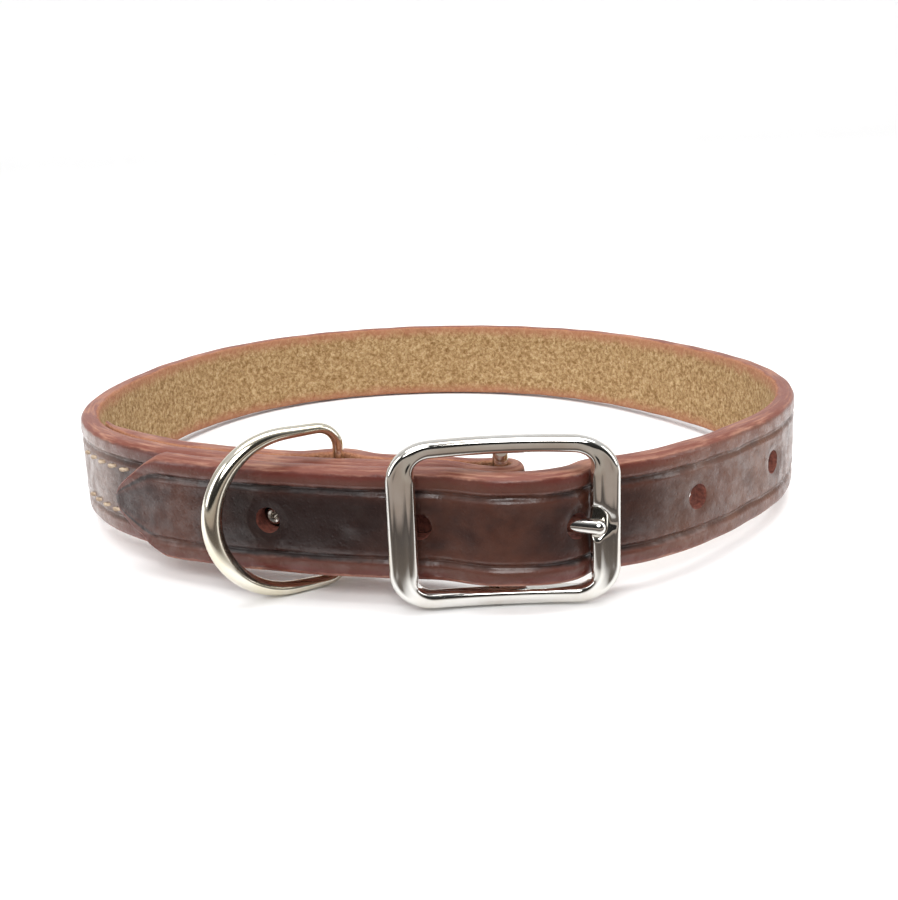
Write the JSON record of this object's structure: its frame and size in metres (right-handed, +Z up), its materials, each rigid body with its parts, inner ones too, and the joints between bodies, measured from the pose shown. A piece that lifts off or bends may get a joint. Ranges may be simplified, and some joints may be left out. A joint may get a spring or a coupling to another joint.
{
  "type": "dog collar",
  "caption": "Small burgundy leather dog collar with a nickel centre-bar buckle and a D-ring, buckled into a loop",
  "frame": {"origin": "middle of the collar's bounding box, on the ground", "axes": "+Z up, -Y towards the buckle at the front, +X towards the free holes"},
  "size_m": [0.1256, 0.1296, 0.0248],
  "materials": {
    "burgundy_leather": "gloss",
    "bright_nickel": "polished",
    "prong_nickel": "polished",
    "ring_nickel": "polished",
    "rivet_rear_nickel": "polished",
    "rivet_front_nickel": "polished"
  },
  "bodies": {
    "body": {"strap": "burgundy_leather", "buckle_frame": "bright_nickel", "prong": "prong_nickel", "rivet_rear": "rivet_rear_nickel", "rivet_front": "rivet_front_nickel"},
    "ring": {"d_ring": "ring_nickel"}
  },
  "joints": [
    {"name": "d_ring_swing", "type": "hinge", "parent": "body", "child": "ring", "pos_m": [-0.01389, -0.05009, 0.0123], "axis": [0, 0.0282, 0.9996], "range_deg": [-10, 80]}
  ]
}
